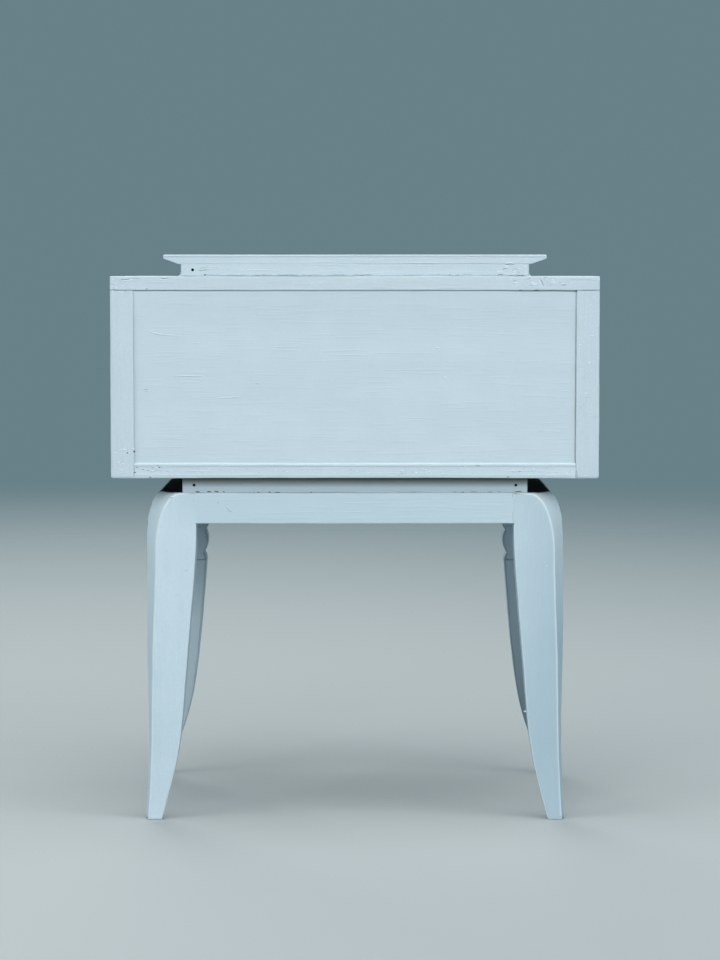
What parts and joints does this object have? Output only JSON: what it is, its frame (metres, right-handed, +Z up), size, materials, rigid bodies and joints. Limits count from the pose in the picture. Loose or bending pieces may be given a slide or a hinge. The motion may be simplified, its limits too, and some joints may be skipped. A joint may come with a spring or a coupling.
{
  "type": "nightstand",
  "caption": "Low wooden case with a drawer that slides out to the front, a raised plinth with a bevelled plate on top, on a leg frame with splayed sabre legs and a scalloped apron.",
  "frame": {"origin": "on the floor, under the middle of the bounding box", "axes": "+Z up, the drawer opens towards -Y, +X to the right of someone who faces the drawer"},
  "size_m": [0.5, 0.323, 0.5825],
  "materials": {
    "painted_wood": "matt chalk paint, brushed on, pale powder blue",
    "bare_wood": "planed and unfinished",
    "plywood": "sanded and unfinished",
    "steel": "bright",
    "brass": "turned, slightly aged"
  },
  "bodies": {
    "carcase": {"case_top": "painted_wood", "case_side_left": "painted_wood", "case_side_right": "painted_wood", "case_bottom": "painted_wood", "back_panel": "painted_wood", "top_plate": "painted_wood", "top_batten_rear": "painted_wood", "top_batten_front": "painted_wood", "top_batten_left": "painted_wood", "top_batten_right": "painted_wood", "base_batten_rear": "painted_wood", "base_batten_front": "painted_wood", "base_batten_left": "painted_wood", "base_batten_right": "painted_wood", "leg_rear_left": "painted_wood", "leg_rear_right": "painted_wood", "leg_front_left": "painted_wood", "leg_front_right": "painted_wood", "rear_rail": "painted_wood", "front_apron": "painted_wood", "side_rail_left": "painted_wood", "side_rail_right": "painted_wood", "runner_left": "bare_wood", "runner_right": "bare_wood", "drawer_stops": "bare_wood", "base_screws": "steel", "top_screws": "steel", "frame_screws": "steel", "batten_nails": "steel", "runner_screws": "steel"},
    "drawer": {"drawer_front": "painted_wood", "drawer_side_left": "bare_wood", "drawer_side_right": "bare_wood", "drawer_back": "bare_wood", "drawer_bottom": "plywood", "bottom_pins": "steel", "knob_left": "brass", "knob_right": "brass", "knob_screws": "steel"}
  },
  "joints": [
    {"name": "drawer_slide", "type": "slide", "parent": "carcase", "child": "drawer", "axis": [0, -1, 0], "range_m": [0, 0.19]}
  ]
}
